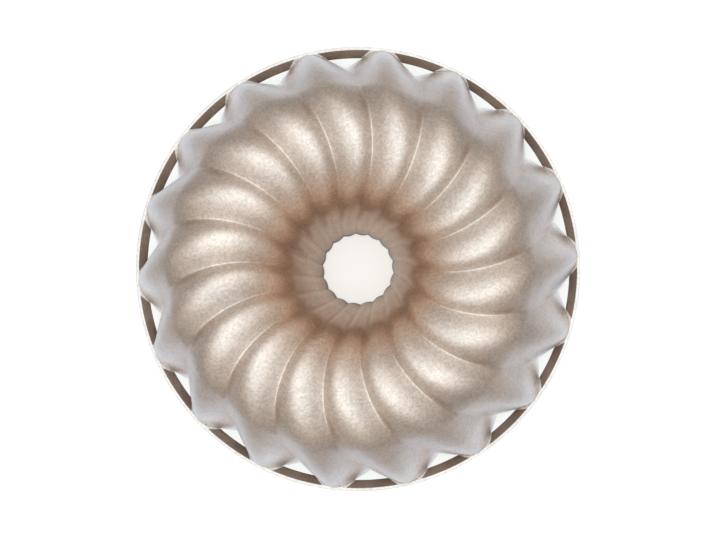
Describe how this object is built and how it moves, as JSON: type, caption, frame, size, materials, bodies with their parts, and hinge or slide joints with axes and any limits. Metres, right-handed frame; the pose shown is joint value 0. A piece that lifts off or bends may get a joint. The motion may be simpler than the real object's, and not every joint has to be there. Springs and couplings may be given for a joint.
{
  "type": "kugelhopf mould",
  "caption": "Ring-shaped cake mould with swirled flutes, an open centre chimney and a round rim ring, shown mouth down; it holds batter while it bakes.",
  "frame": {"origin": "on the mould's axis, in the plane of the rim that it stands on", "axes": "+Z along the mould's axis, from the rim towards the crown; +X and +Y lie in the rim plane"},
  "size_m": [0.26, 0.26, 0.0848],
  "materials": {
    "champagne_coat": "satin"
  },
  "bodies": {
    "root": {"fluted_shell": "champagne_coat", "chimney": "champagne_coat", "rim_ring": "champagne_coat"}
  },
  "joints": []
}
